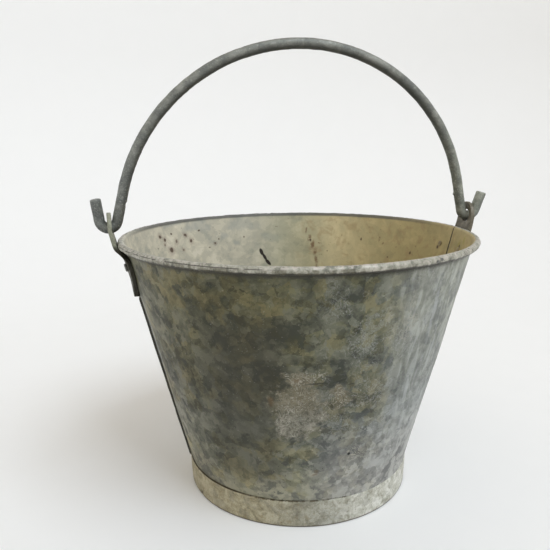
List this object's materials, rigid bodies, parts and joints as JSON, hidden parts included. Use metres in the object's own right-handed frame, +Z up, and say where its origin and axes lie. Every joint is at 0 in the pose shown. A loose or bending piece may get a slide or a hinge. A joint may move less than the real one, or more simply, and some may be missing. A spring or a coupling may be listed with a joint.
{
  "type": "galvanised milk pail",
  "caption": "Tapered round steel pail with a rolled rim, a foot band, riveted ears and a swinging hooked bail handle.",
  "frame": {"origin": "on the ground, in the middle of the pail's foot", "axes": "+Z up the pail's axis, the handle's pivot line runs along X, the front faces -Y"},
  "size_m": [0.3732, 0.33, 0.41],
  "materials": {
    "body_sheet": "hot dipped zinc, dull grey mottled with olive and slate patches",
    "rim_wire": "zinc coated wire",
    "bottom_sheet": "hot dipped zinc, dull, stained",
    "foot_band": "hot dipped zinc, pale and worn",
    "ear_plate": "rough hot dipped zinc",
    "rivet": "rough hot dipped zinc",
    "bail_bar": "rough dark zinc coated bar"
  },
  "bodies": {
    "pail": {"front_panel": "body_sheet", "back_panel": "body_sheet", "rim_wire": "rim_wire", "bottom_disc": "bottom_sheet", "foot_band": "foot_band", "left_ear": "ear_plate", "right_ear": "ear_plate", "left_ear_rivets": "rivet", "right_ear_rivets": "rivet"},
    "handle": {"bail": "bail_bar"}
  },
  "joints": [
    {"name": "bail_swing", "type": "hinge", "parent": "pail", "child": "handle", "pos_m": [0, -0.00625, 0.25075], "axis": [1, 0, 0], "range_deg": [-103, 84]}
  ]
}
